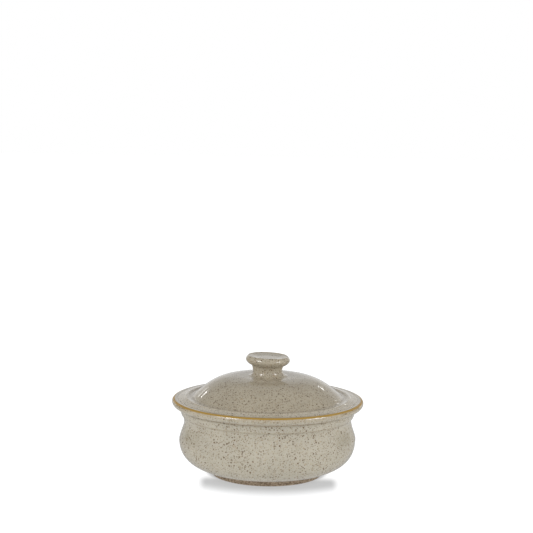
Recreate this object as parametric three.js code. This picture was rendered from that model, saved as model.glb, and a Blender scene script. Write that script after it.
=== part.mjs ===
// A stoneware stew pot for one portion: a bellied bowl on a foot ring, with a rolled rim that holds a
// domed lid in a gallery, and a dished mushroom knob stuck to the lid's crown before firing.
// Millimetres, +Z up. The origin is on the table, at the middle of the foot ring.

import * as THREE from 'three';

// Pot, outside
const RIM_DIAMETER = 145;
const POT_HEIGHT = 57.6;
const RIM_OVERHANG = 9;
const RIM_BEAD = 5;
const RIM_DEPTH = 6.2;
const RIM_SHOULDER = 2.3;
const RIM_CREST_INSET = 2.4;
const GROOVE_DEPTH = 0.75;
const GROOVE_WIDTH = 1.7;
const COLLAR_DEPTH = 16.4;
const COLLAR_STEP = 1.6;
const COLLAR_STEP_HEIGHT = 3.8;
const NECK_BAND = 1.2;
const BELLY_SWELL = 3.4;
const BELLY_HEIGHT = 26.5;
const FOOT_DIAMETER = 84.4;
const FOOT_HEIGHT = 3.6;
const FOOT_FLARE = 0.8;
const UNDERSIDE_REACH = 6.5;
const UNDERSIDE_SLOPE = THREE.MathUtils.degToRad(15);

// Pot, inside and underneath
const POT_WALL = 4.8;
const FLOOR_THICKNESS = 5;
const FLOOR_DIAMETER = 60;
const FOOT_RING_WIDTH = 5;
const FOOT_RECESS = 2.4;
const FOOT_ROUND = 0.8;
const RIM_WIDTH = 4.95;
const RIM_INNER_FALL = 0.1;
const RIM_INNER_ROUND = 0.3;
const GALLERY_DEPTH = 2.7;
const GALLERY_WIDTH = 5.35;
const GALLERY_EDGE_ROUND = 1;

// Lid
const LID_CLEARANCE = 0.3;
const FLANGE_THICKNESS = 3.2;
const FLANGE_ROUND = 0.35;
const TERRACE_WIDTH = 4.3;
const TERRACE_RISE = 0.45;
const STEP_HEIGHT = 0.35;
const STEP_WIDTH = 0.55;
const COVE_WIDTH = 7.5;
const COVE_DEPTH = 0.6;
const DOME_FOOT_RISE = 2.1;
const DOME_SLOPE = THREE.MathUtils.degToRad(40);
const DOME_RISE = 16.6;
const LID_WALL = 4.6;
const SKIRT_CLEARANCE = 1.2;
const SKIRT_DEPTH = 4.2;
const SKIRT_WALL = 4.2;
const SKIRT_TAPER = 0.6;

// Knob
const KNOB_HEIGHT = 15.4;
const KNOB_NECK_DIAMETER = 22.4;
const KNOB_SHOULDER = 1;
const KNOB_HEAD_DIAMETER = 33.4;
const KNOB_HEAD_THICKNESS = 7.2;
const KNOB_EDGE_DROP = 3;
const KNOB_LIP_INSET = 1.7;
const KNOB_LIP_ROUND = 0.4;
const KNOB_DISH = 1.05;
const KNOB_DISH_WALL = 1.4;
const KNOB_BASE_FLARE = 3.8;
const KNOB_SEAT_MARGIN = 0.6;

// Roundness of the turned forms
const TURN_SEGMENTS = 52;
const KNOB_SEGMENTS = 40;
const CURVE_STEPS = 5;
const FILLET_STEPS = 3;

// Handle lengths as shares of a curve's span: a quarter circle's, fuller and slacker ones', the dome's
const ROUND_HANDLE = 0.55;
const FULL_HANDLE = 0.85;
const BELLY_HANDLE = 0.81;
const SLACK_HANDLE = 0.3;
const DOME_HANDLE = 0.47;

// Radii and heights that more than one piece or stretch of outline uses
const rimRadius = RIM_DIAMETER / 2;
const neckRadius = rimRadius - RIM_OVERHANG;
const bellyRadius = neckRadius + BELLY_SWELL;
const galleryRadius = rimRadius - RIM_WIDTH;
const mouthRadius = galleryRadius - GALLERY_WIDTH;
const ledgeHeight = POT_HEIGHT - GALLERY_DEPTH;
const lidRadius = galleryRadius - LID_CLEARANCE;
const crownHeight = FLANGE_THICKNESS + DOME_RISE;
const knobNeckRadius = KNOB_NECK_DIAMETER / 2;
const knobBaseRadius = knobNeckRadius + KNOB_BASE_FLARE;
const crownRadius = knobBaseRadius + KNOB_SEAT_MARGIN;

// An outline of radius and height, drawn counter-clockwise so that a turned solid faces out.
class Outline {
  constructor(radius, height) {
    this.points = [new THREE.Vector2(radius, height)];
  }

  get end() {
    return this.points[this.points.length - 1];
  }

  lineTo(radius, height) {
    this.points.push(new THREE.Vector2(radius, height));
    return this;
  }

  // A cubic stretch: each handle is an offset from its own end of the stretch.
  curveTo(radius, height, startHandle, endHandle, steps = CURVE_STEPS) {
    const start = this.end;
    const finish = new THREE.Vector2(radius, height);
    const curve = new THREE.CubicBezierCurve(
      start,
      new THREE.Vector2(start.x + startHandle[0], start.y + startHandle[1]),
      new THREE.Vector2(finish.x + endHandle[0], finish.y + endHandle[1]),
      finish,
    );
    this.points.push(...curve.getPoints(steps).slice(1));
    return this;
  }

  // A rounded corner: the stretch bends once, towards the corner where its two sides would meet.
  filletTo(radius, height, cornerRadius, cornerHeight) {
    const finish = new THREE.Vector2(radius, height);
    const corner = new THREE.Vector2(cornerRadius, cornerHeight);
    const curve = new THREE.QuadraticBezierCurve(this.end, corner, finish);
    this.points.push(...curve.getPoints(FILLET_STEPS).slice(1));
    return this;
  }

  // Turns the outline about the +Z axis.
  turned(segments) {
    return new THREE.LatheGeometry(this.points, segments).rotateX(Math.PI / 2);
  }
}

// A curve handle of a given length, at an angle from straight out.
function slopeHandle(length, angle) {
  return [length * Math.cos(angle), length * Math.sin(angle)];
}

// The pot's outside, from the middle of the recessed underside up to the rim's crest.
function drawPotOutside() {
  const footRadius = FOOT_DIAMETER / 2;
  const footInside = footRadius - FOOT_RING_WIDTH;
  const collarBottom = POT_HEIGHT - COLLAR_DEPTH;
  const collarRadius = neckRadius + COLLAR_STEP;
  const collarEdge = collarBottom + COLLAR_STEP_HEIGHT;
  const collarTop = POT_HEIGHT - RIM_DEPTH;
  const collarTopRadius = rimRadius - RIM_BEAD;
  const collarTaper = (collarTopRadius - collarRadius) / (collarTop - collarEdge);
  const grooveRadius = collarTopRadius - GROOVE_DEPTH;
  const grooveHeight = collarTop - GROOVE_WIDTH / 2;
  const neckHeight = collarBottom - NECK_BAND;
  const shoulderHeight = POT_HEIGHT - RIM_SHOULDER;
  const crestRadius = rimRadius - RIM_CREST_INSET;
  const underside = slopeHandle(UNDERSIDE_REACH, UNDERSIDE_SLOPE);
  const bellyLow = [0, -BELLY_HANDLE * (BELLY_HEIGHT - FOOT_HEIGHT)];
  const bellyHigh = [0, SLACK_HANDLE * (neckHeight - BELLY_HEIGHT)];
  const neckLow = [0, -SLACK_HANDLE * (neckHeight - BELLY_HEIGHT)];
  const collarRise = [0, ROUND_HANDLE * COLLAR_STEP_HEIGHT];
  const collarLean = [-ROUND_HANDLE * COLLAR_STEP, -SLACK_HANDLE * COLLAR_STEP];
  const grooveEase = GROOVE_WIDTH / 4;
  const beadOut = [ROUND_HANDLE * RIM_BEAD, 0];
  const beadUp = [0, -ROUND_HANDLE * (shoulderHeight - collarTop)];
  const crestUp = [0, ROUND_HANDLE * RIM_SHOULDER];
  const crestIn = [ROUND_HANDLE * RIM_CREST_INSET, 0];
  return new Outline(0, FOOT_RECESS)
    .lineTo(footInside - FOOT_RECESS, FOOT_RECESS)
    .lineTo(footInside - FOOT_ROUND, FOOT_ROUND)
    .filletTo(footInside + FOOT_ROUND, 0, footInside, 0)
    .lineTo(footRadius - FOOT_ROUND, 0)
    .filletTo(footRadius, FOOT_ROUND, footRadius, 0)
    .lineTo(footRadius + FOOT_FLARE, FOOT_HEIGHT)
    .curveTo(bellyRadius, BELLY_HEIGHT, underside, bellyLow, 2 * CURVE_STEPS)
    .curveTo(neckRadius, neckHeight, bellyHigh, neckLow)
    .lineTo(neckRadius, collarBottom)
    .curveTo(collarRadius, collarEdge, collarRise, collarLean, FILLET_STEPS)
    .lineTo(collarTopRadius - collarTaper * GROOVE_WIDTH, collarTop - GROOVE_WIDTH)
    .curveTo(grooveRadius, grooveHeight, [0, grooveEase], [0, -grooveEase], 2)
    .curveTo(collarTopRadius, collarTop, [0, grooveEase], [-grooveEase, 0], 2)
    .curveTo(rimRadius, shoulderHeight, beadOut, beadUp)
    .curveTo(crestRadius, POT_HEIGHT, crestUp, crestIn, FILLET_STEPS);
}

// The pot's inside, from the rim's crest over the lid's gallery and down the bowl to the floor's middle.
function drawPotInside(outline) {
  const floorHeight = FOOT_RECESS + FLOOR_THICKNESS;
  const floorRadius = FLOOR_DIAMETER / 2;
  const neckInside = neckRadius - POT_WALL;
  const bellyInside = bellyRadius - POT_WALL;
  const neckHeight = POT_HEIGHT - COLLAR_DEPTH - NECK_BAND;
  const mouthHeight = ledgeHeight - GALLERY_EDGE_ROUND;
  const rimInnerHeight = POT_HEIGHT - RIM_INNER_FALL;
  const mouthDown = [0, -ROUND_HANDLE * (mouthHeight - neckHeight)];
  const neckUp = [0, SLACK_HANDLE * (mouthHeight - neckHeight)];
  const neckDown = [0, -SLACK_HANDLE * (neckHeight - BELLY_HEIGHT)];
  const bellyUp = [0, SLACK_HANDLE * (neckHeight - BELLY_HEIGHT)];
  const bellyDown = [0, -FULL_HANDLE * (BELLY_HEIGHT - floorHeight)];
  const floorOut = [SLACK_HANDLE * (bellyInside - floorRadius), 0];
  return outline
    .lineTo(galleryRadius + RIM_INNER_ROUND, rimInnerHeight)
    .filletTo(galleryRadius, rimInnerHeight - RIM_INNER_ROUND, galleryRadius, rimInnerHeight)
    .lineTo(galleryRadius, ledgeHeight)
    .lineTo(mouthRadius + GALLERY_EDGE_ROUND, ledgeHeight)
    .filletTo(mouthRadius, mouthHeight, mouthRadius, ledgeHeight)
    .curveTo(neckInside, neckHeight, mouthDown, neckUp)
    .curveTo(bellyInside, BELLY_HEIGHT, neckDown, bellyUp)
    .curveTo(floorRadius, floorHeight, bellyDown, floorOut, 2 * CURVE_STEPS)
    .lineTo(0, floorHeight);
}

// The lid's underside: dome hollow, locating skirt and the flat ring that sits on the gallery ledge.
// Heights are from the ledge.
function drawLidUnderside(domeFoot) {
  const hollowHeight = crownHeight - LID_WALL;
  const hollowFootRadius = domeFoot.x - LID_WALL * Math.sin(DOME_SLOPE);
  const hollowFootHeight = domeFoot.y - LID_WALL * Math.cos(DOME_SLOPE);
  const skirtRadius = mouthRadius - SKIRT_CLEARANCE;
  const skirtInside = skirtRadius - SKIRT_WALL;
  const skirtTip = skirtRadius - SKIRT_TAPER;
  const skirtRound = (skirtTip - skirtInside) / 2;
  const domeHandle = DOME_HANDLE * (hollowFootRadius - crownRadius);
  const skirtHandle = ROUND_HANDLE * (skirtInside - hollowFootRadius);
  const slopeUp = slopeHandle(domeHandle, Math.PI - DOME_SLOPE);
  const slopeDown = slopeHandle(skirtHandle, -DOME_SLOPE);
  return new Outline(0, hollowHeight)
    .lineTo(crownRadius, hollowHeight)
    .curveTo(hollowFootRadius, hollowFootHeight, [domeHandle, 0], slopeUp, 2 * CURVE_STEPS)
    .curveTo(skirtInside, 0, slopeDown, [0, ROUND_HANDLE * hollowFootHeight], FILLET_STEPS)
    .lineTo(skirtInside, skirtRound - SKIRT_DEPTH)
    .filletTo(skirtInside + skirtRound, -SKIRT_DEPTH, skirtInside, -SKIRT_DEPTH)
    .filletTo(skirtTip, skirtRound - SKIRT_DEPTH, skirtTip, -SKIRT_DEPTH)
    .lineTo(skirtRadius, 0)
    .lineTo(lidRadius - FLANGE_ROUND, 0)
    .filletTo(lidRadius, FLANGE_ROUND, lidRadius, 0);
}

// The lid's upper side: stepped flange, cove, dome and the flat crown under the knob.
function drawLidTop(outline, domeFoot) {
  const terraceInside = lidRadius - TERRACE_WIDTH;
  const terraceHeight = FLANGE_THICKNESS + TERRACE_RISE;
  const stepHeight = terraceHeight + STEP_HEIGHT;
  const coveOutside = terraceInside - STEP_WIDTH;
  const coveMiddle = (coveOutside + domeFoot.x) / 2;
  const coveBottom = stepHeight - COVE_DEPTH;
  const coveHandle = ROUND_HANDLE * (coveMiddle - domeFoot.x);
  const domeHandle = DOME_HANDLE * (domeFoot.x - crownRadius);
  const slopeDown = slopeHandle(coveHandle, -DOME_SLOPE);
  const slopeUp = slopeHandle(domeHandle, Math.PI - DOME_SLOPE);
  return outline
    .lineTo(lidRadius, FLANGE_THICKNESS - FLANGE_ROUND)
    .filletTo(lidRadius - FLANGE_ROUND, FLANGE_THICKNESS, lidRadius, FLANGE_THICKNESS)
    .lineTo(terraceInside, terraceHeight)
    .lineTo(coveOutside, stepHeight)
    .curveTo(coveMiddle, coveBottom, [-coveHandle, -COVE_DEPTH], [coveHandle, 0], FILLET_STEPS)
    .curveTo(domeFoot.x, domeFoot.y, [-coveHandle, 0], slopeDown, FILLET_STEPS)
    .curveTo(crownRadius, crownHeight, slopeUp, [domeHandle, 0], 2 * CURVE_STEPS)
    .lineTo(0, crownHeight);
}

// The knob: a neck that flares at both ends under a round-edged head, whose lip rings a flat-floored dish.
function drawKnob() {
  const headRadius = KNOB_HEAD_DIAMETER / 2;
  const headBottom = KNOB_HEIGHT - KNOB_HEAD_THICKNESS;
  const shoulderRadius = knobNeckRadius + KNOB_SHOULDER;
  const edgeHeight = KNOB_HEIGHT - KNOB_EDGE_DROP;
  const lipRadius = headRadius - KNOB_LIP_INSET;
  const browHeight = KNOB_HEIGHT - KNOB_LIP_ROUND;
  const dishRadius = lipRadius - KNOB_DISH_WALL;
  const edgeRise = edgeHeight - headBottom;
  const neckRise = headBottom - KNOB_BASE_FLARE;
  const spread = headRadius - shoulderRadius;
  const baseIn = [-ROUND_HANDLE * KNOB_BASE_FLARE, 0];
  const baseUp = [0, -ROUND_HANDLE * KNOB_BASE_FLARE];
  const neckUp = [0, ROUND_HANDLE * neckRise];
  const shoulderLow = [-KNOB_SHOULDER / 2, -SLACK_HANDLE * neckRise];
  const headOut = [spread / 2, edgeRise / 5];
  const headLow = [0, -ROUND_HANDLE * edgeRise];
  const lipTurn = ROUND_HANDLE * KNOB_LIP_ROUND;
  const browUp = [0, SLACK_HANDLE * KNOB_EDGE_DROP];
  const browIn = [KNOB_LIP_INSET / 2, -SLACK_HANDLE * KNOB_EDGE_DROP];
  return new Outline(0, 0)
    .lineTo(knobBaseRadius, 0)
    .curveTo(knobNeckRadius, KNOB_BASE_FLARE, baseIn, baseUp)
    .curveTo(shoulderRadius, headBottom, neckUp, shoulderLow, FILLET_STEPS)
    .curveTo(headRadius, edgeHeight, headOut, headLow)
    .curveTo(lipRadius + KNOB_LIP_ROUND, browHeight, browUp, browIn, FILLET_STEPS)
    .curveTo(lipRadius, KNOB_HEIGHT, [-lipTurn, lipTurn], [lipTurn, 0], 2)
    .curveTo(lipRadius - KNOB_LIP_ROUND, browHeight, [-lipTurn, 0], [lipTurn, lipTurn], 2)
    .lineTo(dishRadius, KNOB_HEIGHT - KNOB_DISH)
    .lineTo(0, KNOB_HEIGHT - KNOB_DISH);
}

// The whole lid's outline, whose dome foot sets both the dome and the hollow under it.
function drawLid() {
  const coveOutside = lidRadius - TERRACE_WIDTH - STEP_WIDTH;
  const stepHeight = FLANGE_THICKNESS + TERRACE_RISE + STEP_HEIGHT;
  const domeFoot = new THREE.Vector2(coveOutside - COVE_WIDTH, stepHeight + DOME_FOOT_RISE);
  return drawLidTop(drawLidUnderside(domeFoot), domeFoot);
}

// Each piece has its own coat of the same glossy grey-beige glaze.
function turnPiece(name, outline, segments) {
  const glaze = new THREE.MeshStandardMaterial({ color: 0xb8b09e, roughness: 0.22, metalness: 0 });
  const piece = new THREE.Mesh(outline.turned(segments), glaze);
  piece.name = name;
  return piece;
}

const pot = turnPiece('pot', drawPotInside(drawPotOutside()), TURN_SEGMENTS);
const lid = turnPiece('lid', drawLid(), TURN_SEGMENTS);
const knob = turnPiece('knob', drawKnob(), KNOB_SEGMENTS);
knob.position.z = crownHeight;

// The lid and its knob lift off together from the gallery ledge.
const cover = new THREE.Group();
cover.position.z = ledgeHeight;
cover.add(lid, knob);

const stewPot = new THREE.Group();
stewPot.name = 'stew_pot';
stewPot.add(pot, cover);

export default stewPot;
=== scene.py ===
"""A lidded stoneware stew pot with a speckled glaze, dressed and lit for a studio picture.

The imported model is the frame: the pot and the lid below replace its plain solids, each riding on
its own body. Sizes are in millimetres, as on a maker's drawing, and meshes are in metres.
"""

from __future__ import annotations

import logging
import math
from collections.abc import Callable, Mapping, Sequence
from dataclasses import dataclass
from enum import Enum
from typing import Any

import bpy
from mathutils import Matrix, Vector

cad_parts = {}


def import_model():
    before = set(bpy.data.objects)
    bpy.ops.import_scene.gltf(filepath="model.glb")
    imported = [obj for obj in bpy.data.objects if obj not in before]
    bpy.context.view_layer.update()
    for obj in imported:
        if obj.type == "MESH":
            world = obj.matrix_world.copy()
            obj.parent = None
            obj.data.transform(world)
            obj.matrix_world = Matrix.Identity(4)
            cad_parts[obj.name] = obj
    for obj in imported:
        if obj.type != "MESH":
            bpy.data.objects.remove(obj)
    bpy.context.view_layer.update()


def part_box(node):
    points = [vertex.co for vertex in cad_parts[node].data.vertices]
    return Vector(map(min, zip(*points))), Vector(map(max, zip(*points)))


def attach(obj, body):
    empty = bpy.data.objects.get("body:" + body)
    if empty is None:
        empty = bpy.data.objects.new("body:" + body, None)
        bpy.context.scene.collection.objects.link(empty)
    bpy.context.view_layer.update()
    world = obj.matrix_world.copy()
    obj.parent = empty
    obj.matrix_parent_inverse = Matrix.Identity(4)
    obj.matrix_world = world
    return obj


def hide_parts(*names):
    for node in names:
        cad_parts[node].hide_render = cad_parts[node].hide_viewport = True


LOG = logging.getLogger("stew_pot")

MM = 0.001
PHOTO_SIDE = 533
SENSOR_MM = 36.0

Colour = tuple[float, float, float]
Point = tuple[float, float]
Warp = Callable[[Vector], Vector]


class Body(Enum):
    """The bodies of the frame that the pieces ride on."""

    POT = "pot"
    LID = "lid"


class Slot(Enum):
    """The record's material slots."""

    POT_GLAZE = "pot_glaze"
    LID_GLAZE = "lid_glaze"


class Mark(Enum):
    """Lines round a turned piece, from which a finish measures its distance over the surface."""

    RIM_LINE = "rim_line"
    FLANGE_EDGE = "flange_edge"
    GLAZE_EDGE = "glaze_edge"
    SEAT_OUTSIDE = "seat_outside"
    SEAT_INSIDE = "seat_inside"


EDGE_ATTRIBUTE = "edge"
FAR_FROM_MARK = 99.0


def smooth_step(low: float, high: float, value: float) -> float:
    """Eases from 0 at low to 1 at high.

    Args:
        low: the value where the step starts.
        high: the value where the step ends.
        value: the value to place on the step.

    Returns:
        A share from 0 to 1.
    """
    share = min(1.0, max(0.0, (value - low) / (high - low)))
    return share * share * (3.0 - 2.0 * share)


class Outline:
    """An outline of radius and height in millimetres, drawn counter-clockwise."""

    def __init__(self, radius: float, height: float) -> None:
        """Starts the outline at a point, usually on the axis."""
        self.points: list[Point] = [(radius, height)]
        self.marks: dict[Mark, int] = {}

    def line(self, radius: float, height: float, step: float = 2.0) -> Outline:
        """Draws a straight stretch.

        Args:
            radius: the radius where the stretch ends.
            height: the height where it ends.
            step: the spacing of the points along it.

        Returns:
            The outline itself.
        """
        start = self.points[-1]
        count = max(1, round(math.dist(start, (radius, height)) / step))
        for index in range(1, count + 1):
            share = index / count
            self.points.append(
                (start[0] + (radius - start[0]) * share, start[1] + (height - start[1]) * share)
            )
        return self

    def curve(self, end: Point, start_handle: Point, end_handle: Point, step: float = 1.0) -> Outline:
        """Draws a cubic stretch, whose handles are offsets from its own ends.

        Args:
            end: radius and height where the stretch ends.
            start_handle: offset of the first handle from the stretch's start.
            end_handle: offset of the second handle from its end.
            step: the spacing of the points along it.

        Returns:
            The outline itself.
        """
        start = Vector(self.points[-1])
        finish = Vector(end)
        first = start + Vector(start_handle)
        second = finish + Vector(end_handle)
        length = (first - start).length + (second - first).length + (finish - second).length
        count = max(3, round(length / step))
        for index in range(1, count + 1):
            t = index / count
            u = 1.0 - t
            spot = start * u**3 + first * (3 * u * u * t) + second * (3 * u * t * t) + finish * t**3
            self.points.append((spot.x, spot.y))
        return self

    def fillet(self, end: Point, corner: Point, step: float = 0.25) -> Outline:
        """Draws a rounded corner.

        Args:
            end: radius and height where the round ends.
            corner: the point where the two sides would meet.
            step: the spacing of the points along it.

        Returns:
            The outline itself.
        """
        start = self.points[-1]
        pull = 2.0 / 3.0
        start_handle = ((corner[0] - start[0]) * pull, (corner[1] - start[1]) * pull)
        end_handle = ((corner[0] - end[0]) * pull, (corner[1] - end[1]) * pull)
        return self.curve(end, start_handle, end_handle, step)

    def mark(self, name: Mark) -> Outline:
        """Names the outline's latest point."""
        self.marks[name] = len(self.points) - 1
        return self

    def lengths(self) -> list[float]:
        """The distance along the outline of each point from its start.

        Returns:
            One distance for each point, in millimetres.
        """
        total = 0.0
        found = [0.0]
        for before, after in zip(self.points, self.points[1:]):
            total += math.dist(before, after)
            found.append(total)
        return found

    def edges(self, reach: float = 0.8) -> list[float]:
        """How sharply the outline turns at each point, out positive and in negative.

        Args:
            reach: how far along the outline, each way, the turn is measured.

        Returns:
            The turn at each point, in radians for each millimetre.
        """
        along = self.lengths()
        last = len(self.points) - 1
        turns = []
        for index, here in enumerate(along):
            back = index
            while back > 0 and here - along[back] < reach:
                back -= 1
            ahead = index
            while ahead < last and along[ahead] - here < reach:
                ahead += 1
            if index in (0, last):
                turns.append(0.0)
                continue
            spot = Vector(self.points[index])
            arrive = spot - Vector(self.points[back])
            leave = Vector(self.points[ahead]) - spot
            turn = math.atan2(arrive.cross(leave), arrive.dot(leave))
            turns.append(2.0 * turn / (arrive.length + leave.length))
        return turns


@dataclass(frozen=True)
class TurnedPiece:
    """A closed surface turned about +Z from an outline whose two ends lie on the axis."""

    outline: Outline
    segments: int

    def make(self, name: str, warp: Warp) -> bpy.types.Object:
        """Builds the piece's mesh, with the finish's distances kept as attributes.

        Args:
            name: the new object's name.
            warp: moves each point, in millimetres, from the true turned form to the fired one.

        Returns:
            The new object, linked to the scene.
        """
        rows = self.outline.points
        vertices: list[Vector] = []
        sources: list[int] = []
        rings: list[list[int]] = []
        for row, (radius, height) in enumerate(rows):
            turns = 1 if row in (0, len(rows) - 1) else self.segments
            rings.append(list(range(len(vertices), len(vertices) + turns)))
            for index in range(turns):
                angle = 2.0 * math.pi * index / turns
                nominal = Vector((radius * math.cos(angle), radius * math.sin(angle), height))
                vertices.append(warp(nominal) * MM)
                sources.append(row)
        mesh = bpy.data.meshes.new(name)
        mesh.from_pydata(vertices, [], self._faces(rings))
        mesh.polygons.foreach_set("use_smooth", [True] * len(mesh.polygons))
        self._keep_distances(mesh, sources)
        mesh.validate()
        piece = bpy.data.objects.new(name, mesh)
        bpy.context.scene.collection.objects.link(piece)
        return piece

    def _faces(self, rings: Sequence[Sequence[int]]) -> list[tuple[int, ...]]:
        """Joins neighbouring rings with quads, and the ends with fans, facing out.

        Args:
            rings: the numbers of the points in each ring, from one end of the outline to the other.

        Returns:
            The numbers of the points round each face.
        """
        faces: list[tuple[int, ...]] = []
        for low, high in zip(rings, rings[1:]):
            for index in range(self.segments):
                after = (index + 1) % self.segments
                if len(low) == 1:
                    faces.append((low[0], high[after], high[index]))
                elif len(high) == 1:
                    faces.append((low[index], low[after], high[0]))
                else:
                    faces.append((low[index], low[after], high[after], high[index]))
        return faces

    def _keep_distances(self, mesh: bpy.types.Mesh, sources: Sequence[int]) -> None:
        """Writes each point's edge turn, and its distance along the outline from each mark.

        Args:
            mesh: the piece's mesh, which gets an attribute for each.
            sources: the outline's point that each point of the mesh was turned from.
        """
        along = self.outline.lengths()
        columns = {EDGE_ATTRIBUTE: self.outline.edges()}
        for name in Mark:
            if name in self.outline.marks:
                start = along[self.outline.marks[name]]
                columns[name.value] = [here - start for here in along]
            else:
                columns[name.value] = [FAR_FROM_MARK] * len(along)
        for name, column in columns.items():
            layer = mesh.attributes.new(name, "FLOAT", "POINT")
            layer.data.foreach_set("value", [column[row] for row in sources])


class Wire:
    """A shader value: arithmetic on it adds Math nodes to its tree."""

    def __init__(self, tree: ShaderTree, socket: bpy.types.NodeSocket) -> None:
        """Wraps an output socket."""
        self.tree = tree
        self.socket = socket

    def __add__(self, other: Wire | float) -> Wire:
        """Adds."""
        return self.tree.math("ADD", self, other)

    def __radd__(self, other: float) -> Wire:
        """Adds to a number."""
        return self.tree.math("ADD", other, self)

    def __sub__(self, other: Wire | float) -> Wire:
        """Subtracts."""
        return self.tree.math("SUBTRACT", self, other)

    def __rsub__(self, other: float) -> Wire:
        """Subtracts from a number."""
        return self.tree.math("SUBTRACT", other, self)

    def __mul__(self, other: Wire | float) -> Wire:
        """Multiplies."""
        return self.tree.math("MULTIPLY", self, other)

    def __rmul__(self, other: float) -> Wire:
        """Multiplies a number."""
        return self.tree.math("MULTIPLY", other, self)

    def __truediv__(self, other: Wire | float) -> Wire:
        """Divides."""
        return self.tree.math("DIVIDE", self, other)

    def __rtruediv__(self, other: float) -> Wire:
        """Divides a number."""
        return self.tree.math("DIVIDE", other, self)

    def __abs__(self) -> Wire:
        """Drops the sign."""
        return self.tree.math("ABSOLUTE", self)

    def above(self, low: Wire | float, high: Wire | float) -> Wire:
        """Eases from 0 where the value is low to 1 where it is high.

        Args:
            low: the value where the step starts.
            high: the value where it ends.

        Returns:
            A share from 0 to 1.
        """
        settings = {"interpolation_type": "SMOOTHSTEP"}
        sockets = {"Value": self, "From Min": low, "From Max": high}
        return self.tree.add("ShaderNodeMapRange", settings, sockets)


class ShaderTree:
    """The node tree of a material or a world, filled by code."""

    def __init__(self, owner: bpy.types.Material | bpy.types.World) -> None:
        """Empties the owner's node tree and takes it over.

        Args:
            owner: the material or world that the nodes belong to.
        """
        owner.use_nodes = True
        self.nodes = owner.node_tree.nodes
        self.links = owner.node_tree.links
        self.nodes.clear()

    def add(
        self,
        kind: str,
        settings: Mapping[str, Any] | None = None,
        sockets: Mapping[str | int, Any] | None = None,
        out: str | int = 0,
    ) -> Wire:
        """Adds one node.

        Args:
            kind: the node's type name.
            settings: properties of the node, set before its sockets.
            sockets: a value or a wire for each input, by identifier, name or place.
            out: the output to wrap, by identifier, name or place.

        Returns:
            The chosen output.
        """
        node = self.nodes.new(kind)
        for name, value in (settings or {}).items():
            setattr(node, name, value)
        for key, value in (sockets or {}).items():
            socket = self._socket(node.inputs, key)
            if isinstance(value, Wire):
                self.links.new(value.socket, socket)
            elif isinstance(value, tuple) and len(value) < len(socket.default_value):
                socket.default_value = (*value, 1.0)
            else:
                socket.default_value = value
        if not node.outputs:
            return Wire(self, None)
        return Wire(self, self._socket(node.outputs, out))

    @staticmethod
    def _socket(sockets: Any, key: str | int) -> bpy.types.NodeSocket:
        """Finds a socket by place, identifier or name.

        Args:
            sockets: a node's inputs or outputs.
            key: the socket's place, identifier or name.

        Returns:
            The socket.
        """
        if isinstance(key, int):
            return sockets[key]
        for socket in sockets:
            if socket.identifier == key:
                return socket
        return sockets[key]

    def math(self, operation: str, first: Wire | float, second: Wire | float = 0.0) -> Wire:
        """Adds a Math node."""
        return self.add("ShaderNodeMath", {"operation": operation}, {0: first, 1: second})

    def mix(self, share: Wire | float, first: Wire | Colour, second: Wire | Colour) -> Wire:
        """Mixes two colours."""
        sockets = {"Factor_Float": share, "A_Color": first, "B_Color": second}
        return self.add("ShaderNodeMix", {"data_type": "RGBA"}, sockets, "Result_Color")

    def attribute(self, name: str) -> Wire:
        """Reads a number kept on the mesh."""
        return self.add("ShaderNodeAttribute", {"attribute_name": name}, out="Fac")

    def place(self) -> Wire:
        """The place on the object, in millimetres.

        Returns:
            A vector in the object's own frame.
        """
        spot = self.add("ShaderNodeTexCoord", out="Object")
        sockets = {0: spot, "Scale": 1.0 / MM}
        return self.add("ShaderNodeVectorMath", {"operation": "SCALE"}, sockets, "Vector")

    def noise(self, place: Wire, size: float, detail: float = 2.0, out: str = "Fac") -> Wire:
        """Soft noise with features of about the given size in millimetres."""
        sockets = {"Vector": place, "Scale": 1.0 / size, "Detail": detail}
        return self.add("ShaderNodeTexNoise", {}, sockets, out)

    def any_of(self, *choices: str) -> Wire:
        """1 where the ray is any of the named kinds, and 0 elsewhere.

        Args:
            choices: outputs of the Light Path node.

        Returns:
            A share of 0 or 1.
        """
        total: Wire | float = 0.0
        for choice in choices:
            total = self.math("MAXIMUM", self.add("ShaderNodeLightPath", out=choice), total)
        return total


SEEN_RAYS = ("Is Camera Ray", "Is Glossy Ray", "Is Transmission Ray")


@dataclass(frozen=True)
class Specks:
    """One size of iron speck in a glaze: spacing and radius in millimetres."""

    spacing: float
    radius: float
    spread: float
    softness: float
    strength: float

    def mask(self, tree: ShaderTree, place: Wire) -> Wire:
        """How strongly the specks show.

        Args:
            tree: the material's nodes.
            place: the place on the object, in millimetres.

        Returns:
            A share from 0, bare glaze, to the specks' strength.
        """
        sockets = {"Vector": place, "Scale": 1.0 / self.spacing}
        distance = tree.add("ShaderNodeTexVoronoi", {}, sockets, "Distance") * self.spacing
        chance = tree.add("ShaderNodeTexVoronoi", {}, sockets, "Color")
        parts = {"Color": chance}
        size_draw = tree.add("ShaderNodeSeparateColor", {}, parts, "Red")
        depth_draw = tree.add("ShaderNodeSeparateColor", {}, parts, "Green")
        radius = self.radius + self.spread * (size_draw - 0.5)
        shown = 1.0 - distance.above(radius - self.softness, radius + self.softness)
        return shown * (self.strength * (0.45 + 0.55 * depth_draw))


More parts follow.
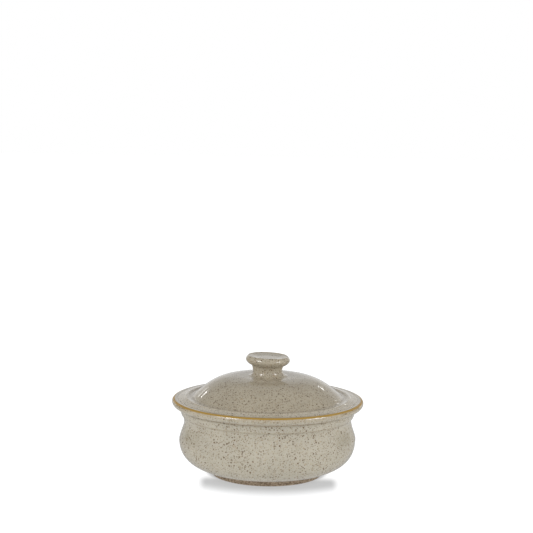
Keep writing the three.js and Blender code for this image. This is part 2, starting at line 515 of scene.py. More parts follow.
@dataclass(frozen=True)
class Glaze:
    """A glossy speckled stoneware glaze, with its bare clay and the amber line on a rim."""

    name: str
    pale: Colour
    deep: Colour
    thin: Colour
    speck: Colour
    clay: Colour = (0.43, 0.34, 0.242)
    clay_dark: Colour = (0.17, 0.118, 0.073)
    # The next colour is painted light: a paler band along the lid's lip and terrace, not thicker glaze.
    flange_painted_light: Colour = (0.56, 0.5, 0.388)
    # The next colour darkens concave hollows: partly glaze pooled there, partly painted shade in the
    # grooves and the lid's cove.
    pool_and_painted_shade: Colour = (0.29, 0.222, 0.135)
    rust: Colour = (0.33, 0.2, 0.085)
    amber: Colour = (0.4, 0.228, 0.022)
    amber_half_width: float = 0.98
    edge_turn: Point = (0.12, 0.55)
    # Turns below which hollows get the pooled glaze and painted shade.
    hollow_turn: Point = (-0.6, -0.22)
    # How far from the flange edge that painted light reaches, in millimetres.
    flange_painted_light_reach: Point = (2.5, 12.0)
    mottle_share: float = 0.22
    pool_and_painted_shade_share: float = 0.82
    rust_share: float = 0.45
    line_cover: float = 0.97
    roughness: float = 0.07
    line_roughness: float = 0.4
    clay_roughness: float = 0.82
    ripple: float = 0.012
    specks: tuple[Specks, ...] = (
        Specks(spacing=1.9, radius=0.46, spread=0.5, softness=0.1, strength=1.0),
        Specks(spacing=1.15, radius=0.29, spread=0.24, softness=0.08, strength=0.85),
    )

    def dress(self) -> bpy.types.Material:
        """Makes the glaze's material.

        Returns:
            A new material.
        """
        material = bpy.data.materials.new(self.name)
        tree = ShaderTree(material)
        place = tree.place()
        wander = tree.noise(place, 0.9, 1.0, "Color")
        shift = tree.add("ShaderNodeVectorMath", {"operation": "SCALE"}, {0: wander, "Scale": 0.5})
        crooked = tree.add("ShaderNodeVectorMath", {"operation": "ADD"}, {0: place, 1: shift})

        cloud = tree.noise(place, 22.0, 3.0).above(0.35, 0.65)
        colour = tree.mix(cloud, self.pale, self.deep)
        mottle = tree.noise(place, 1.6, 3.0).above(0.3, 0.75)
        colour = tree.mix(mottle * self.mottle_share, colour, self.thin)
        turn = tree.attribute(EDGE_ATTRIBUTE)
        sharp = turn.above(*self.edge_turn)
        colour = tree.mix(sharp * (0.25 + 0.6 * mottle), colour, self.thin)
        # Concave hollows get the pool colour: partly glaze pooled there, partly painted shade.
        hollow = 1.0 - turn.above(*self.hollow_turn)
        colour = tree.mix(hollow * self.pool_and_painted_shade_share, colour, self.pool_and_painted_shade)
        # A paler band round the lid's flange edge: painted light, not thicker glaze.
        past_lip = abs(tree.attribute(Mark.FLANGE_EDGE.value))
        flange_painted_light = 1.0 - past_lip.above(*self.flange_painted_light_reach)
        colour = tree.mix(flange_painted_light, colour, self.flange_painted_light)

        rust = tree.noise(place, 1.3, 2.0).above(0.6, 0.7)
        colour = tree.mix(rust * self.rust_share, colour, self.rust)
        flecks: Wire | float = 0.0
        for layer in self.specks:
            flecks = tree.math("MAXIMUM", layer.mask(tree, crooked), flecks)
        crowded = tree.noise(place, 13.0, 2.0).above(0.38, 0.62)
        flecks = flecks * (0.75 + 0.4 * crowded)
        colour = tree.mix(flecks, colour, self.speck)

        line_wander = (tree.noise(place, 3.5, 2.0) - 0.5) * 0.5
        off_line = abs(tree.attribute(Mark.RIM_LINE.value)) + line_wander
        half = self.amber_half_width
        line = 1.0 - off_line.above(half - 0.3, half + 0.35)
        colour = tree.mix(line * self.line_cover, colour, self.amber)

        bare = self._bare(tree, place)
        grit = tree.noise(place, 1.2, 4.0).above(0.36, 0.66)
        clay = tree.mix(grit, self.clay, self.clay_dark)
        colour = tree.mix(bare, colour, clay)

        gloss = self.roughness + 0.16 * flecks + 0.05 * (tree.noise(place, 6.0) - 0.5)
        matt = tree.math("MAXIMUM", bare * self.clay_roughness, line * self.line_roughness)
        rough = tree.math("MAXIMUM", gloss, matt)
        swell = tree.noise(place, 3.2, 2.0) * 0.25 + tree.noise(place, 9.0, 1.0) * 0.9
        height = swell - 0.35 * flecks + bare * (grit * 1.2 - 1.0)
        relief = {"Strength": 1.0, "Distance": self.ripple * MM, "Height": height}
        bump = tree.add("ShaderNodeBump", {}, relief)
        sockets = {"Base Color": colour, "Roughness": rough, "IOR": 1.5, "Normal": bump}
        surface = tree.add("ShaderNodeBsdfPrincipled", {}, sockets)
        tree.add("ShaderNodeOutputMaterial", {}, {"Surface": surface})
        return material

    @staticmethod
    def _bare(tree: ShaderTree, place: Wire) -> Wire:
        """1 on the clay that was wiped clean of glaze, with a slightly uneven edge.

        Args:
            tree: the material's nodes.
            place: the place on the object, in millimetres.

        Returns:
            A share from 0, glazed, to 1, bare.
        """
        blur = (-0.12, 0.12)
        uneven = (tree.noise(place, 5.0, 2.0) - 0.5) * 0.6
        past_edge = tree.attribute(Mark.GLAZE_EDGE.value) + uneven
        foot = 1.0 - past_edge.above(*blur)
        before_seat = tree.attribute(Mark.SEAT_OUTSIDE.value) + uneven
        after_seat = tree.attribute(Mark.SEAT_INSIDE.value) + uneven
        seat = (1.0 - before_seat.above(*blur)) * after_seat.above(*blur)
        return tree.math("MAXIMUM", foot, seat)


POT_GLAZE = Glaze(
    name="speckled_pot_glaze",
    pale=(0.50, 0.462, 0.372),
    deep=(0.46, 0.425, 0.342),
    thin=(0.39, 0.305, 0.185),
    speck=(0.125, 0.074, 0.031),
)
LID_GLAZE = Glaze(
    name="speckled_lid_glaze",
    pale=(0.463, 0.411, 0.313),
    deep=(0.426, 0.376, 0.286),
    thin=(0.4, 0.345, 0.25),
    speck=(0.105, 0.065, 0.03),
    # The lid's pooled glaze and painted shade in its hollows stays close to its own glaze.
    pool_and_painted_shade=(0.35, 0.302, 0.222),
    specks=(
        Specks(spacing=1.65, radius=0.41, spread=0.46, softness=0.1, strength=1.0),
        Specks(spacing=1.0, radius=0.265, spread=0.22, softness=0.08, strength=0.85),
    ),
)


@dataclass(frozen=True)
class Pot:
    """The bowl: foot ring, bellied wall, neck, collar, rolled rim and the lid's gallery."""

    rim_radius: float
    height: float
    rim_overhang: float = 9.0
    rim_bead: float = 5.0
    rim_depth: float = 6.2
    rim_shoulder: float = 2.3
    crest_inset: float = 2.4
    groove_depth: float = 0.6
    groove_width: float = 2.4
    collar_depth: float = 16.4
    collar_step: float = 1.6
    collar_step_height: float = 3.8
    collar_lean: float = math.radians(35.0)
    collar_round: float = 0.5
    neck_band: float = 1.2
    belly_swell: float = 3.4
    belly_height: float = 26.5
    belly_fullness: float = 0.81
    foot_radius: float = 42.2
    foot_height: float = 3.6
    foot_flare: float = 0.8
    foot_width: float = 5.0
    foot_recess: float = 2.4
    foot_round: float = 0.8
    underside_reach: float = 6.5
    underside_slope: float = math.radians(15.0)
    wall: float = 4.8
    floor: float = 5.0
    floor_radius: float = 30.0
    rim_width: float = 4.95
    rim_inner_fall: float = 0.1
    rim_inner_round: float = 0.2
    gallery_depth: float = 2.7
    gallery_width: float = 5.35
    gallery_edge_round: float = 1.0
    gallery_corner_round: float = 0.3
    line_drop: float = 1.3
    out_of_round: float = 0.05
    neck_sway: float = 0.4
    segments: int = 176

    @classmethod
    def from_frame(cls) -> Pot:
        """Takes the rim's radius and the height from the frame's pot."""
        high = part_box("pot")[1] / MM
        return cls(rim_radius=high.x, height=high.z)

    def build(self) -> bpy.types.Object:
        """Builds, dresses and places the pot.

        Returns:
            The pot's object, riding on its body.
        """
        outline = self._inside(self._outside())
        piece = TurnedPiece(outline, self.segments).make("glazed_pot", self._fired)
        piece.data.materials.append(POT_GLAZE.dress())
        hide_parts("pot")
        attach(piece, Body.POT.value)
        return piece

    def _outside(self) -> Outline:
        """Draws from the middle of the recessed underside up to the rim's crest.

        Returns:
            The outline so far.
        """
        foot_inside = self.foot_radius - self.foot_width
        neck = self.rim_radius - self.rim_overhang
        belly = neck + self.belly_swell
        collar_bottom = self.height - self.collar_depth
        collar_top = self.height - self.rim_depth
        collar_top_radius = self.rim_radius - self.rim_bead
        neck_height = collar_bottom - self.neck_band
        shoulder = self.height - self.rim_shoulder
        crest = self.rim_radius - self.crest_inset
        rise = neck_height - self.belly_height
        edge = Vector((neck + self.collar_step, collar_bottom + self.collar_step_height))
        corner = Vector((collar_top_radius, collar_top))
        up_collar = (corner - edge).normalized()
        lean = Vector((math.cos(self.collar_lean), math.sin(self.collar_lean)))
        before_edge = edge - lean * self.collar_round
        after_edge = edge + up_collar * self.collar_round
        groove_start = corner - up_collar * self.groove_width
        groove = (corner.x - self.groove_depth, corner.y - 0.5 * self.groove_width)
        groove_ease = 0.25 * self.groove_width
        groove_lean = up_collar * groove_ease
        slope = (
            self.underside_reach * math.cos(self.underside_slope),
            self.underside_reach * math.sin(self.underside_slope),
        )
        outline = Outline(0.0, self.foot_recess)
        outline.line(foot_inside - self.foot_recess, self.foot_recess, 4.0)
        outline.line(foot_inside - self.foot_round, self.foot_round, 0.5)
        outline.fillet((foot_inside + self.foot_round, 0.0), (foot_inside, 0.0))
        outline.line(self.foot_radius - self.foot_round, 0.0, 0.6)
        outline.fillet((self.foot_radius, self.foot_round), (self.foot_radius, 0.0))
        outline.line(self.foot_radius + self.foot_flare, self.foot_height, 0.4).mark(Mark.GLAZE_EDGE)
        belly_low = (0.0, -self.belly_fullness * (self.belly_height - self.foot_height))
        outline.curve((belly, self.belly_height), slope, belly_low, 1.0)
        outline.curve((neck, neck_height), (0.0, 0.3 * rise), (0.0, -0.3 * rise), 1.0)
        outline.line(neck, collar_bottom, 0.5)
        collar_rise = (0.0, 0.5 * self.collar_step_height)
        collar_lean = -0.5 * self.collar_step * lean
        outline.curve((before_edge.x, before_edge.y), collar_rise, (collar_lean.x, collar_lean.y), 0.3)
        outline.fillet((after_edge.x, after_edge.y), (edge.x, edge.y), 0.15)
        outline.line(groove_start.x, groove_start.y, 0.6)
        outline.curve(groove, (groove_lean.x, groove_lean.y), (0.0, -groove_ease), 0.15)
        outline.curve((corner.x, corner.y), (0.0, groove_ease), (-groove_ease, 0.0), 0.15)
        bead_out = (0.55 * self.rim_bead, 0.0)
        bead_up = (0.0, -0.55 * (shoulder - collar_top))
        outline.curve((self.rim_radius, shoulder), bead_out, bead_up, 0.35)
        crest_up = (0.0, 0.55 * self.rim_shoulder)
        crest_in = (0.55 * self.crest_inset, 0.0)
        outline.curve((crest, self.height), crest_up, crest_in, 0.2)
        along = outline.lengths()
        line_start = along[-1] - self.line_drop
        outline.marks[Mark.RIM_LINE] = min(
            range(len(along)), key=lambda index: abs(along[index] - line_start)
        )
        return outline

    def _inside(self, outline: Outline) -> Outline:
        """Draws from the crest over the gallery and down the bowl to the floor's middle.

        Args:
            outline: the outline up to the crest.

        Returns:
            The finished outline.
        """
        gallery = self.rim_radius - self.rim_width
        mouth = gallery - self.gallery_width
        ledge = self.height - self.gallery_depth
        floor = self.foot_recess + self.floor
        neck = self.rim_radius - self.rim_overhang - self.wall
        belly = neck + self.belly_swell
        neck_height = self.height - self.collar_depth - self.neck_band
        mouth_height = ledge - self.gallery_edge_round
        flare = mouth_height - neck_height
        rise = neck_height - self.belly_height
        rim_inside = self.height - self.rim_inner_fall
        wall_top = rim_inside - self.rim_inner_round
        outline.line(gallery + self.rim_inner_round, rim_inside, 0.4)
        outline.fillet((gallery, wall_top), (gallery, rim_inside), 0.12)
        corner = self.gallery_corner_round
        outline.line(gallery, ledge + corner, 0.3)
        outline.fillet((gallery - corner, ledge), (gallery, ledge), 0.12)
        outline.line(mouth + self.gallery_edge_round, ledge, 0.7)
        outline.fillet((mouth, mouth_height), (mouth, ledge))
        outline.curve((neck, neck_height), (0.0, -0.55 * flare), (0.0, 0.3 * flare), 1.0)
        outline.curve((belly, self.belly_height), (0.0, -0.3 * rise), (0.0, 0.3 * rise), 1.2)
        belly_down = (0.0, -0.85 * (self.belly_height - floor))
        floor_out = (0.3 * (belly - self.floor_radius), 0.0)
        outline.curve((self.floor_radius, floor), belly_down, floor_out, 1.2)
        return outline.line(0.0, floor, 3.0)

    def _fired(self, point: Vector) -> Vector:
        """Moves a point of the true form to where the kiln left it.

        Args:
            point: a point of the turned form, in millimetres.

        Returns:
            The point with the slight ovality that firing gives the upper wall.
        """
        radius = math.hypot(point.x, point.y)
        if radius == 0.0:
            return point
        angle = math.atan2(point.y, point.x)
        share = smooth_step(4.0, 30.0, point.z) * smooth_step(5.0, 40.0, radius)
        swell = self.out_of_round * (math.cos(2.0 * angle + 0.6) + 0.5 * math.cos(3.0 * angle - 1.1))
        scale = 1.0 + share * swell / radius
        neck = self.height - self.collar_depth
        sway = smooth_step(neck - 16.0, neck - 12.0, point.z) * smooth_step(neck + 1.0, neck - 3.0, point.z)
        return Vector((point.x * scale + self.neck_sway * sway, point.y * scale, point.z))


@dataclass(frozen=True)
class Lid:
    """The lid with its knob: hollow, skirt, stepped flange, cove, dome and dished knob."""

    radius: float
    ledge: float
    crown: float
    knob_radius: float
    top: float
    snug: float = 0.2
    seat_round: float = 0.5
    edge_height: float = 3.0
    edge_round: float = 1.5
    lip_reach: float = 0.4
    lip_height: float = 0.36
    terrace_width: float = 3.5
    terrace_rise: float = 0.4
    step_height: float = 0.65
    step_width: float = 2.2
    cove_width: float = 7.25
    cove_depth: float = 0.55
    dome_foot_rise: float = 1.95
    dome_slope: float = math.radians(40.0)
    dome_handle: float = 0.47
    wall: float = 4.6
    skirt_radius: float = 61.0
    skirt_depth: float = 4.2
    skirt_wall: float = 4.2
    skirt_taper: float = 0.6
    skirt_corner_round: float = 0.5
    knob_neck: float = 11.2
    knob_flare: float = 4.4
    knob_shoulder: float = 1.0
    knob_head: float = 7.2
    knob_edge_drop: float = 3.0
    knob_lip_inset: float = 1.7
    knob_lip_round: float = 0.4
    knob_dish_wall: float = 11.0
    knob_dish: float = 1.05
    lift: float = 0.05
    dome_lean: float = math.radians(0.4)
    knob_lean: float = math.radians(2.1)
    knob_shift: float = -0.9
    segments: int = 176

    @classmethod
    def from_frame(cls) -> Lid:
        """Takes the lid's main sizes from the frame's lid and knob.

        Returns:
            The lid, ready to build.
        """
        lid_low, lid_high = (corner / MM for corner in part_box("lid"))
        knob_low, knob_high = (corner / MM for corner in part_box("knob"))
        return cls(
            radius=lid_high.x + cls.snug,
            ledge=lid_low.z + cls.skirt_depth,
            crown=knob_low.z,
            knob_radius=knob_high.x,
            top=knob_high.z,
        )

    def build(self) -> bpy.types.Object:
        """Builds, dresses and places the lid with its knob under one coat of glaze.

        Returns:
            The lid's object, riding on its body.
        """
        outline = self._knob(self._upper(self._underside()))
        piece = TurnedPiece(outline, self.segments).make("glazed_lid", self._fired)
        piece.data.materials.append(LID_GLAZE.dress())
        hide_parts("lid", "knob")
        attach(piece, Body.LID.value)
        return piece

    def _step_top(self) -> Point:
        """Radius and height of the flange just inside its step."""
        radius = self.radius - self.terrace_width - self.step_width
        return (radius, self.ledge + self.edge_height + self.terrace_rise + self.step_height)

    def _dome_foot(self) -> Vector:
        """Radius and height where the cove turns into the dome."""
        radius, height = self._step_top()
        return Vector((radius - self.cove_width, height + self.dome_foot_rise))

    def _slope(self, length: float, angle: float) -> Point:
        """A curve handle of a given length, at an angle from straight out."""
        return (length * math.cos(angle), length * math.sin(angle))

    def _underside(self) -> Outline:
        """Draws the hollow, the skirt and the flat ring that sits on the gallery's ledge.

        Returns:
            The outline so far.
        """
        foot = self._dome_foot()
        crown_radius = self.knob_neck + self.knob_flare
        hollow = self.crown - self.wall
        inner_foot = foot - Vector((math.sin(self.dome_slope), math.cos(self.dome_slope))) * self.wall
        skirt_inside = self.skirt_radius - self.skirt_wall
        skirt_tip = self.skirt_radius - self.skirt_taper
        skirt_round = (skirt_tip - skirt_inside) / 2.0
        skirt_bottom = self.ledge - self.skirt_depth
        dome_handle = self.dome_handle * (inner_foot.x - crown_radius)
        skirt_handle = 0.55 * (skirt_inside - inner_foot.x)
        seat = self.ledge + self.lift
        outline = Outline(0.0, hollow)
        outline.line(crown_radius, hollow, 2.5)
        slope_up = self._slope(dome_handle, math.pi - self.dome_slope)
        outline.curve((inner_foot.x, inner_foot.y), (dome_handle, 0.0), slope_up, 1.3)
        slope_down = self._slope(skirt_handle, -self.dome_slope)
        skirt_up = (0.0, 0.55 * (inner_foot.y - self.ledge))
        outline.curve((skirt_inside, self.ledge), slope_down, skirt_up, 0.5)
        outline.line(skirt_inside, skirt_bottom + skirt_round, 0.6)
        outline.fillet((skirt_inside + skirt_round, skirt_bottom), (skirt_inside, skirt_bottom))
        outline.fillet((skirt_tip, skirt_bottom + skirt_round), (skirt_tip, skirt_bottom))
        corner = self.skirt_corner_round
        outline.line(self.skirt_radius, seat - corner, 0.5)
        outline.fillet((self.skirt_radius + corner, seat), (self.skirt_radius, seat), 0.15)
        outline.mark(Mark.SEAT_INSIDE)
        seat_outside = self.radius - self.seat_round
        outline.line(seat_outside, seat, 0.8).mark(Mark.SEAT_OUTSIDE)
        return outline.fillet((self.radius, seat + self.seat_round), (self.radius, seat), 0.15)

    def _upper(self, outline: Outline) -> Outline:
        """Draws the stepped flange, the cove and the dome up to the knob's fillet.

        Args:
            outline: the outline of the underside.

        Returns:
            The outline so far.
        """
        foot = self._dome_foot()
        crown_radius = self.knob_neck + self.knob_flare
        edge_top = self.ledge + self.edge_height
        cove_outside, step_top = self._step_top()
        terrace = (cove_outside + self.step_width, step_top - self.step_height)
        cove_middle = (cove_outside + foot.x) / 2.0
        cove_bottom = step_top - self.cove_depth
        cove_handle = 0.55 * (cove_middle - foot.x)
        dome_handle = self.dome_handle * (foot.x - crown_radius)
        lip = self.radius + self.lip_reach
        lip_low = edge_top - self.lip_height
        lip_up = (0.0, 0.55 * self.lip_height)
        lip_in = (0.55 * self.edge_round, 0.0)
        outline.line(self.radius, lip_low, 0.3)
        outline.line(lip, lip_low, 0.2)
        outline.curve((lip - self.edge_round, edge_top), lip_up, lip_in, 0.12).mark(Mark.FLANGE_EDGE)
        ease = 0.45 * self.step_width
        outline.line(terrace[0], terrace[1], 0.5)
        outline.curve((cove_outside, step_top), (-ease, 0.0), (ease, 0.0), 0.15)
        cove_in = (-cove_handle, 0.0)
        outline.curve((cove_middle, cove_bottom), cove_in, (cove_handle, 0.0), 0.35)
        slope_down = self._slope(cove_handle, -self.dome_slope)
        outline.curve((foot.x, foot.y), (-cove_handle, 0.0), slope_down, 0.5)
        slope_up = self._slope(dome_handle, math.pi - self.dome_slope)
        return outline.curve((crown_radius, self.crown), slope_up, (dome_handle, 0.0), 1.0)

    def _knob(self, outline: Outline) -> Outline:
        """Draws the knob: flared base, waist, rounded head, lip and dished top.

        Args:
            outline: the outline up to the dome's crown.

        Returns:
            The finished outline.
        """
        waist = self.crown + self.knob_flare
        head_bottom = self.top - self.knob_head
        shoulder = self.knob_neck + self.knob_shoulder
        edge = self.top - self.knob_edge_drop
        lip = self.knob_radius - self.knob_lip_inset
        brow = (lip + self.knob_lip_round, self.top - self.knob_lip_round)
        dish_rim = (lip - self.knob_lip_round, self.top - self.knob_lip_round)
        floor_radius = lip - self.knob_dish_wall
        floor = self.top - self.knob_dish
        flare = 0.55 * self.knob_flare
        outline.curve((self.knob_neck, waist), (-flare, 0.0), (0.0, -flare), 0.3)
        neck_rise = head_bottom - waist
        outline.curve((shoulder, head_bottom), (0.0, 0.5 * neck_rise), (-0.4, -0.25 * neck_rise), 0.3)
        spread = self.knob_radius - shoulder
        rise = edge - head_bottom
        outline.curve((self.knob_radius, edge), (0.4 * spread, 0.16 * rise), (0.0, -0.45 * rise), 0.3)
        brow_slope = (0.45 * self.knob_lip_inset, -0.35 * self.knob_edge_drop)
        outline.curve(brow, (0.0, 0.3 * self.knob_edge_drop), brow_slope, 0.2)
        turn = 0.55 * self.knob_lip_round
        outline.curve((lip, self.top), (-turn, turn), (turn, 0.0), 0.1)
        outline.curve(dish_rim, (-turn, 0.0), (turn, turn), 0.1)
        wall_down = (-0.5 * self.knob_dish_wall, -0.4 * (dish_rim[1] - floor))
        outline.curve((floor_radius, floor), wall_down, (0.45 * self.knob_dish_wall, 0.0), 0.4)
        return outline.line(0.0, floor, 1.0)

    def _fired(self, point: Vector) -> Vector:
        """Moves a point of the true form to where the kiln left it.

        Args:
            point: a point of the turned form, in millimetres.

        Returns:
            The point with the dome's slight lean and the knob's larger one.
        """
        flange_top = self._step_top()[1]
        dome_share = smooth_step(flange_top + 1.0, self.crown, point.z)
        moved = self._lean(point, Vector((0.0, 0.0, flange_top)), self.dome_lean * dome_share)
        knob_share = smooth_step(self.crown - 0.3, self.crown + self.knob_flare + 1.5, point.z)
        seat = Vector((0.0, 0.0, self.crown))
        moved = self._lean(moved, seat, (self.knob_lean - self.dome_lean) * knob_share)
        return moved + Vector((self.knob_shift * knob_share, 0.0, 0.0))

    @staticmethod
    def _lean(point: Vector, pivot: Vector, angle: float) -> Vector:
        """Turns a point about a pivot, so that what is above it goes towards +X."""
        return Matrix.Rotation(angle, 3, "Y") @ (point - pivot) + pivot


@dataclass(frozen=True)
class Spot:
    """A place round the pot: angles in radians, seen from the camera's side, and metres away."""

    azimuth: float
    elevation: float
    distance: float

    @classmethod
    def degrees(cls, azimuth: float, elevation: float, distance: float) -> Spot:
        """Makes a place from angles in degrees.

        Args:
            azimuth: degrees to the right of the camera.
            elevation: degrees above the level.
            distance: metres away.

        Returns:
            The place.
        """
        return cls(math.radians(azimuth), math.radians(elevation), distance)

    def towards(self) -> Vector:
        """The direction of the place, seen from the pot.

        Returns:
            A vector of length 1.
        """
        level = math.cos(self.elevation)
        return Vector(
            (
                math.sin(self.azimuth) * level,
                -math.cos(self.azimuth) * level,
                math.sin(self.elevation),
            )
        )

    def aimed(self, aim: Vector) -> Matrix:
        """The transform of a thing at the place whose own -Z faces the aim."""
        turn = (-self.towards()).to_track_quat("-Z", "Y").to_matrix().to_4x4()
        return Matrix.Translation(aim + self.towards() * self.distance) @ turn


@dataclass(frozen=True)
class StudioLamp:
    """A rectangular studio light, aimed at the pot, with its size in metres."""

    name: str
    spot: Spot
    width: float
    height: float
    radiance: float

    def build(self, aim: Vector) -> bpy.types.Object:
        """Adds the light.

        Args:
            aim: the point that the light faces.

        Returns:
            The light's object.
        """
        light = bpy.data.lights.new(self.name, "AREA")
        light.shape = "RECTANGLE"
        light.size = self.width
        light.size_y = self.height
        light.energy = self.radiance * math.pi * self.width * self.height
        lamp = bpy.data.objects.new(self.name, light)
        lamp.matrix_world = self.spot.aimed(aim)
        bpy.context.scene.collection.objects.link(lamp)
        return lamp


@dataclass(frozen=True)
class MirrorCard:
    """A card that only the glaze mirrors, as it would the photographer's table and flags: a painted
    reflection that lights and shades nothing.
    """

    name: str
    spot: Spot
    width: float
    height: float
    radiance: float

    def build(self, aim: Vector) -> bpy.types.Object:
        """Adds the card, hidden from the camera and casting neither light nor shade.

        Args:
            aim: the point that the card faces.

        Returns:
            The card's object.
        """
        half_width = self.width / 2.0
        half_height = self.height / 2.0
        corners = [
            (-half_width, -half_height, 0.0),
            (half_width, -half_height, 0.0),
            (half_width, half_height, 0.0),
            (-half_width, half_height, 0.0),
        ]
        mesh = bpy.data.meshes.new(self.name)
        mesh.from_pydata(corners, [], [(0, 1, 2, 3)])
        material = bpy.data.materials.new(self.name)
        tree = ShaderTree(material)
        surface = tree.add("ShaderNodeEmission", {}, {"Strength": self.radiance})
        tree.add("ShaderNodeOutputMaterial", {}, {"Surface": surface})
        mesh.materials.append(material)
        card = bpy.data.objects.new(self.name, mesh)
        card.matrix_world = self.spot.aimed(aim)
        card.visible_camera = False
        card.visible_diffuse = False
        card.visible_shadow = False
        card.visible_transmission = False
        bpy.context.scene.collection.objects.link(card)
        return card


@dataclass(frozen=True)
class Studio:
    """A white sweep with softboxes and back lamps, and the camera where the photographer stood."""

    aim_height: float = 30.0
    camera_distance: float = 1100.0
    camera_elevation: float = math.radians(13.25)
    camera_roll: float = math.radians(0.87)
    pixels_per_mm: float = 1.304
    aim_pixel: Point = (267.26, 433.32)
    floor_half: float = 6.0
    floor_colour: Colour = (0.86, 0.895, 0.955)
    floor_bounce: float = 0.33
    # The painted shade round the foot: its darkest glow, the share of the cast shadow it replaces, and its
    # shape in millimetres.
    shade_light: float = 0.45
    shade_flatness: float = 0.75
    shade_middle: float = 1.4
    shade_front: Point = (46.0, 82.0)
    shade_back: Point = (4.0, 26.0)
    shade_sides: Point = (46.0, 54.5)
    shade_bend: float = 15.0
    shade_back_bend: float = 3.75
    shade_contact: Point = (42.0, 48.0)
    horizon_light: float = 1.15
    zenith_light: float = 0.28
    horizon_rise: float = math.sin(math.radians(8.0))
    zenith_fall: float = math.sin(math.radians(40.0))
    lamps: tuple[StudioLamp, ...] = (
        StudioLamp("softbox_left", Spot.degrees(-50.0, 35.0, 1.3), 0.6, 0.3, 7.5),
        StudioLamp("softbox_right", Spot.degrees(63.0, 31.0, 1.3), 0.55, 0.3, 8.2),
        StudioLamp("back_lamp_left", Spot.degrees(-147.5, 22.8, 1.3), 0.1, 0.018, 15.0),
        StudioLamp("back_lamp_left_low", Spot.degrees(-152.3, 16.6, 1.3), 0.19, 0.015, 5.0),
        StudioLamp("back_lamp_right", Spot.degrees(156.0, 24.5, 1.3), 0.12, 0.022, 9.0),
        StudioLamp("back_lamp_right_low", Spot.degrees(144.0, 21.0, 1.3), 0.07, 0.02, 6.0),
    )
    cards: tuple[MirrorCard, ...] = (
        # Glossy-only cards: painted reflections of a grey table, ceiling and back wall, and dark painted
        # reflections where flags would stand.
        MirrorCard("table_card", Spot.degrees(0.0, -90.0, 0.0297), 2.4, 2.4, 0.48),
        MirrorCard("ceiling_card", Spot.degrees(0.0, 90.0, 1.2), 5.0, 5.0, 0.42),
        MirrorCard("back_low", Spot.degrees(180.0, 2.5, 1.6), 4.4, 0.34, 0.92),
        MirrorCard("back_strip", Spot.degrees(180.0, 12.0, 1.64), 4.4, 0.2, 0.82),
        MirrorCard("back_high", Spot.degrees(180.0, 22.0, 1.68), 4.4, 0.4, 0.62),
        # Two brighter glossy-only cards in front of the softboxes: painted highlights on the rim, the knob
        # and the lid's lip, which light nothing.
        MirrorCard("painted_highlight_left", Spot.degrees(-50.0, 35.0, 1.25), 0.58, 0.29, 17.0),
        MirrorCard("painted_highlight_right", Spot.degrees(63.0, 31.0, 1.25), 0.53, 0.29, 12.0),
        MirrorCard("flag_left", Spot.degrees(-118.0, 8.0, 0.9), 0.62, 0.42, 0.08),
        MirrorCard("flag_right", Spot.degrees(118.0, 8.0, 0.9), 0.62, 0.42, 0.08),
    )

    def build(self) -> None:
        """Builds the camera, the world, the floor and the lights."""
        scene = bpy.context.scene
        scene.view_settings.view_transform = "Standard"
        aim = Vector((0.0, 0.0, self.aim_height * MM))
        scene.camera = self._camera(aim)
        scene.world = self._world()
        self._floor()
        for lamp in self.lamps:
            lamp.build(aim)
        for card in self.cards:
            card.build(aim)

    def _camera(self, aim: Vector) -> bpy.types.Object:
        """Places the camera so that the aim falls on its pixel of the photograph.

        Args:
            aim: the point on the pot's axis that the camera was fitted to.

        Returns:
            The camera's object.
        """
        focal_pixels = self.pixels_per_mm * self.camera_distance
        data = bpy.data.cameras.new("photo_camera")
        data.sensor_width = SENSOR_MM
        data.lens = SENSOR_MM * focal_pixels / PHOTO_SIDE
        right = self.aim_pixel[0] - PHOTO_SIDE / 2.0
        down = self.aim_pixel[1] - PHOTO_SIDE / 2.0
        level_right = right * math.cos(self.camera_roll) + down * math.sin(self.camera_roll)
        level_down = down * math.cos(self.camera_roll) - right * math.sin(self.camera_roll)
        pitch = self.camera_elevation - math.atan(level_down / focal_pixels)
        yaw = math.atan(level_right / focal_pixels)
        back = Vector((0.0, -math.cos(self.camera_elevation), math.sin(self.camera_elevation)))
        turn = (
            Matrix.Rotation(yaw, 4, "Z")
            @ Matrix.Rotation(math.pi / 2.0 - pitch, 4, "X")
            @ Matrix.Rotation(self.camera_roll, 4, "Z")
        )
        camera = bpy.data.objects.new("photo_camera", data)
        camera.matrix_world = Matrix.Translation(aim + back * self.camera_distance * MM) @ turn
        bpy.context.scene.collection.objects.link(camera)
        return camera

    def _world(self) -> bpy.types.World:
        """Makes the surroundings: white where they are seen, brighter in front where they light.

        Returns:
            The new world.
        """
        world = bpy.data.worlds.new("white_studio")
        tree = ShaderTree(world)
        towards = tree.add("ShaderNodeTexCoord", out="Generated")
        rise = tree.add("ShaderNodeSeparateXYZ", {}, {"Vector": towards}, "Z")
        overhead = rise.above(self.horizon_rise, self.zenith_fall)
        lit = self.horizon_light + (self.zenith_light - self.horizon_light) * overhead
        seen = tree.any_of(*SEEN_RAYS)
        strength = seen + lit * (1.0 - seen)
        sockets = {"Color": (1.0, 1.0, 1.0), "Strength": strength}
        surface = tree.add("ShaderNodeBackground", {}, sockets)
        tree.add("ShaderNodeOutputWorld", {}, {"Surface": surface})
        return world

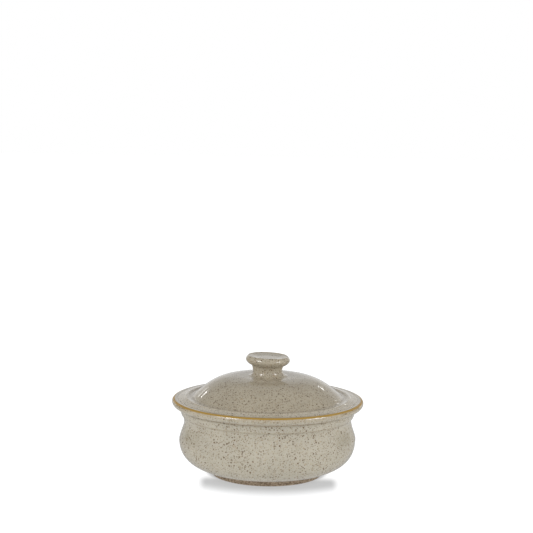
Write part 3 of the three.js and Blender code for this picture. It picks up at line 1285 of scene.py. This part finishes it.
    def _floor(self) -> bpy.types.Object:
        """Makes the sweep: white where it is seen, with a painted shade round the foot and a quarter of the
        pot's cast shadow, and clear from below.

        Returns:
            The floor's object.
        """
        half = self.floor_half
        corners = [(-half, -half, 0.0), (half, -half, 0.0), (half, half, 0.0), (-half, half, 0.0)]
        mesh = bpy.data.meshes.new("white_sweep")
        mesh.from_pydata(corners, [], [(0, 1, 2, 3)])
        material = bpy.data.materials.new("white_sweep")
        tree = ShaderTree(material)
        seen = tree.any_of(*SEEN_RAYS)
        # Seen rays get a painted shade in the glow; the diffuse keeps a quarter of the cast shadow.
        painted_shade_white = self.shade_light + (1.0 - self.shade_light) * self._clear_of_painted_shade(tree)
        glow = self.floor_bounce + (painted_shade_white - self.floor_bounce) * seen
        lift = tree.add("ShaderNodeEmission", {}, {"Color": glow})
        matt = tree.add("ShaderNodeBsdfDiffuse", {}, {"Color": self.floor_colour})
        dim = tree.add("ShaderNodeBsdfDiffuse", {}, {"Color": (0.0, 0.0, 0.0)})
        lit = tree.add("ShaderNodeMixShader", {}, {0: seen * self.shade_flatness, 1: matt, 2: dim})
        top = tree.add("ShaderNodeAddShader", {}, {0: lit, 1: lift})
        clear = tree.add("ShaderNodeBsdfTransparent", {}, {})
        below = tree.add("ShaderNodeNewGeometry", out="Backfacing")
        surface = tree.add("ShaderNodeMixShader", {}, {0: below, 1: top, 2: clear})
        tree.add("ShaderNodeOutputMaterial", {}, {"Surface": surface})
        mesh.materials.append(material)
        floor = bpy.data.objects.new("white_sweep", mesh)
        bpy.context.scene.collection.objects.link(floor)
        return floor

    def _clear_of_painted_shade(self, tree: ShaderTree) -> Wire:
        """0 on the painted shade close round the foot, in front and behind, and 1 on the open floor.

        Args:
            tree: the floor's nodes.

        Returns:
            A share from 0 to 1.
        """
        spot = tree.add("ShaderNodeTexCoord", out="Object")
        across = abs(tree.add("ShaderNodeSeparateXYZ", {}, {"Vector": spot}, "X") / MM - self.shade_middle)
        forward = abs(tree.add("ShaderNodeSeparateXYZ", {}, {"Vector": spot}, "Y")) / MM
        share = across / self.shade_sides[0]
        bow = share * share
        front = (forward + bow * self.shade_bend).above(*self.shade_front)
        back = (forward - bow * self.shade_back_bend).above(*self.shade_back)
        shade = (1.0 - across.above(*self.shade_sides)) * (1.0 - front) * back
        from_axis = tree.add("ShaderNodeVectorMath", {"operation": "LENGTH"}, {0: spot}, "Value") / MM
        contact = 1.0 - from_axis.above(*self.shade_contact)
        return 1.0 - tree.math("MAXIMUM", shade, contact)


def main() -> None:
    """Loads the frame, builds the studio and the pieces in order, and reports each piece."""
    logging.basicConfig(level=logging.INFO, format="%(message)s")
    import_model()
    Studio().build()
    for piece in (Pot.from_frame().build(), Lid.from_frame().build()):
        LOG.info("%s: %d faces", piece.name, len(piece.data.polygons))


if __name__ == "__main__":
    main()
